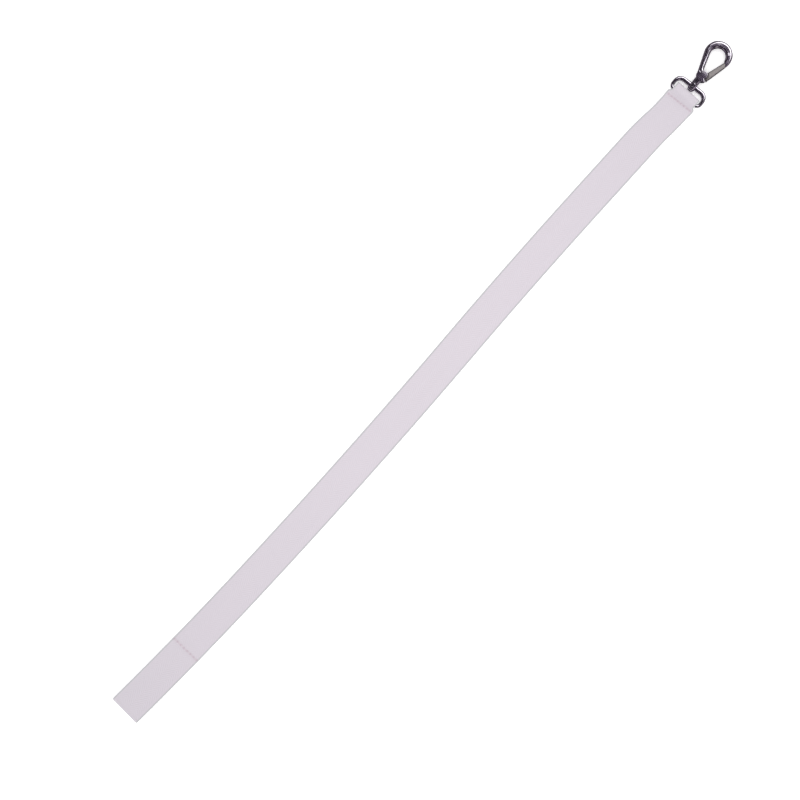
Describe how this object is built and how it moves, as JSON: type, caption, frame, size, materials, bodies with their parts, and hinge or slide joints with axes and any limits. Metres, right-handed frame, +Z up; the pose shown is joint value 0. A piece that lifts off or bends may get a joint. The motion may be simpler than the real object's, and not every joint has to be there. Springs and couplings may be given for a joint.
{
  "type": "webbing training lead",
  "caption": "Short flat webbing lead with a sewn hand loop and a chromed swivel snap hook for a collar's ring.",
  "frame": {"origin": "on the surface the lead lies on, under the middle of its box", "axes": "+X from the hand loop to the hook's tip, +Y to the left of that, +Z up off the surface"},
  "size_m": [0.651, 0.03, 0.0078],
  "materials": {
    "webbing": "pale lilac pink woven polyester webbing, soft sheen",
    "thread": "pale pink bonded polyester thread",
    "plating": "bright nickel chrome plating on a zinc casting",
    "gate_metal": "satin nickel",
    "spring_wire": "drawn spring steel wire"
  },
  "bodies": {
    "lead": {"webbing_strap": "webbing", "hook_seam_needle_thread": "thread", "hook_seam_bobbin_thread": "thread", "loop_seam_needle_thread": "thread", "loop_seam_bobbin_thread": "thread"},
    "eye": {"swivel_eye": "plating"},
    "hook": {"hook_body": "plating", "gate_rivet": "plating", "gate_spring": "spring_wire"},
    "gate": {"gate": "gate_metal"}
  },
  "joints": [
    {"name": "eye_swing", "type": "hinge", "parent": "lead", "child": "eye", "pos_m": [0.27644, 0.00088, 0.00315], "axis": [-0.061, 0.9981, 0], "range_deg": [-110, 100]},
    {"name": "hook_swivel", "type": "hinge", "parent": "eye", "child": "hook", "pos_m": [0.28602, 0.00146, 0.00315], "axis": [0.9981, 0.061, 0], "continuous": true},
    {"name": "gate_open", "type": "hinge", "parent": "hook", "child": "gate", "pos_m": [0.29695, 0.00133, 0.00315], "axis": [0, 0, 1], "range_deg": [0, 28], "stiffness_Nm_per_rad": 0.06, "springref_deg": -20.05, "deforming": ["gate_spring"]}
  ]
}
